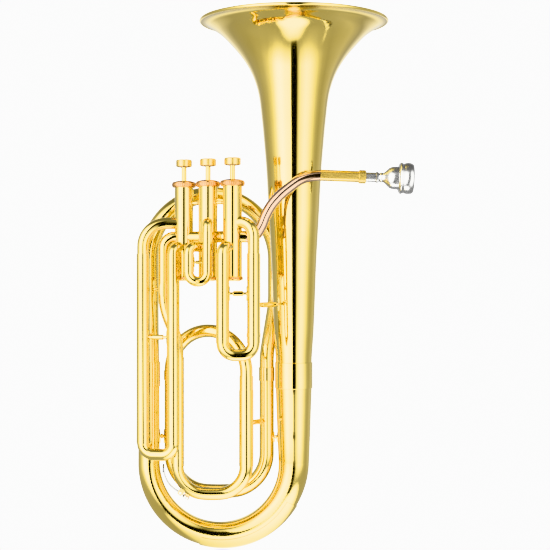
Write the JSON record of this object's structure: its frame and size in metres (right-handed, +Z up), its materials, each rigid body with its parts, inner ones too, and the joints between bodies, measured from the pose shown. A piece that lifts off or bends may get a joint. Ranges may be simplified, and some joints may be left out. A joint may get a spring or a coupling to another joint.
{
  "type": "baritone horn",
  "caption": "Upright-bell brass baritone horn with piston valves, pull-out tuning slides, water key and mouthpiece.",
  "frame": {"origin": "under the centre of the outline, at the level of the bottom bow's lowest point", "axes": "+Z up along the bell towards its rim, +X towards the mouthpiece, -Y the valve-slide side"},
  "size_m": [0.3346, 0.2319, 0.6489],
  "materials": {
    "lacquered_brass": "clear lacquer, glossy",
    "rose_brass": "clear lacquer, glossy",
    "copper_tone": "turned, clear lacquer",
    "silver_plate": "polished silver plate",
    "steel": "ground",
    "felt": "pressed felt",
    "cork": "matt cork"
  },
  "bodies": {
    "horn": {"bell": "lacquered_brass", "bell_rim_wire": "lacquered_brass", "bottom_bow": "lacquered_brass", "bow_guard": "lacquered_brass", "left_branch": "lacquered_brass", "top_bow": "lacquered_brass", "right_branch": "lacquered_brass", "second_bow": "lacquered_brass", "return_crook": "lacquered_brass", "tube_ferrules": "lacquered_brass", "outlet_tube": "lacquered_brass", "tuning_sleeves": "lacquered_brass", "first_slide_tubes": "lacquered_brass", "second_slide_tubes": "lacquered_brass", "third_slide_tubes": "lacquered_brass", "valve_knuckles": "lacquered_brass", "bottom_caps": "lacquered_brass", "inlet_knuckle": "lacquered_brass", "receiver": "lacquered_brass", "receiver_ring": "lacquered_brass", "braces": "lacquered_brass", "bell_ferrule": "lacquered_brass", "leadpipe": "rose_brass", "top_caps": "copper_tone", "valve_1_casing": "lacquered_brass", "valve_1_spring": "steel", "valve_2_casing": "lacquered_brass", "valve_2_spring": "steel", "valve_3_casing": "lacquered_brass", "valve_3_spring": "steel"},
    "first_slide": {"first_slide_bow": "lacquered_brass", "first_slide_legs": "lacquered_brass", "first_slide_ferrules": "lacquered_brass"},
    "second_slide": {"second_slide_bow": "lacquered_brass", "second_slide_legs": "lacquered_brass", "second_slide_ferrules": "lacquered_brass", "second_slide_knob": "lacquered_brass"},
    "third_slide": {"third_slide_bow": "lacquered_brass", "third_slide_legs": "lacquered_brass", "third_slide_ferrules": "lacquered_brass"},
    "tuning_slide": {"tuning_bow": "lacquered_brass", "tuning_legs": "lacquered_brass", "tuning_ferrules": "lacquered_brass", "water_key_saddle": "lacquered_brass", "water_key_screw": "steel"},
    "water_key": {"water_key_lever": "silver_plate", "water_key_cork": "cork"},
    "mouthpiece": {"mouthpiece": "silver_plate"},
    "valve_1": {"valve_1_piston": "steel", "valve_1_stem": "lacquered_brass", "valve_1_button": "copper_tone", "valve_1_felts": "felt"},
    "valve_2": {"valve_2_piston": "steel", "valve_2_stem": "lacquered_brass", "valve_2_button": "copper_tone", "valve_2_felts": "felt"},
    "valve_3": {"valve_3_piston": "steel", "valve_3_stem": "lacquered_brass", "valve_3_button": "copper_tone", "valve_3_felts": "felt"}
  },
  "joints": [
    {"name": "valve_1_press", "type": "slide", "parent": "horn", "child": "valve_1", "axis": [0, 0, -1], "range_m": [0, 0.0165], "stiffness_N_per_m": 90, "springref_m": -0.03, "deforming": ["valve_1_spring"]},
    {"name": "valve_2_press", "type": "slide", "parent": "horn", "child": "valve_2", "axis": [0, 0, -1], "range_m": [0, 0.0165], "stiffness_N_per_m": 90, "springref_m": -0.03, "deforming": ["valve_2_spring"]},
    {"name": "valve_3_press", "type": "slide", "parent": "horn", "child": "valve_3", "axis": [0, 0, -1], "range_m": [0, 0.0165], "stiffness_N_per_m": 90, "springref_m": -0.03, "deforming": ["valve_3_spring"]},
    {"name": "first_slide_pull", "type": "slide", "parent": "horn", "child": "first_slide", "axis": [0, 0, -1], "range_m": [0, 0.06]},
    {"name": "second_slide_pull", "type": "slide", "parent": "horn", "child": "second_slide", "axis": [0, 0, -1], "range_m": [0, 0.015]},
    {"name": "third_slide_pull", "type": "slide", "parent": "horn", "child": "third_slide", "axis": [0, 0, -1], "range_m": [0, 0.09]},
    {"name": "tuning_slide_pull", "type": "slide", "parent": "horn", "child": "tuning_slide", "axis": [0, 0, -1], "range_m": [0, 0.06]},
    {"name": "water_key_open", "type": "hinge", "parent": "tuning_slide", "child": "water_key", "pos_m": [-0.113, -0.0245, 0.072], "axis": [0, 1, 0], "range_deg": [0, 12], "stiffness_Nm_per_rad": 0.05, "springref_deg": -28.65},
    {"name": "mouthpiece_out", "type": "slide", "parent": "horn", "child": "mouthpiece", "axis": [0.9993, 0, -0.0384], "range_m": [0, 0.03]}
  ]
}
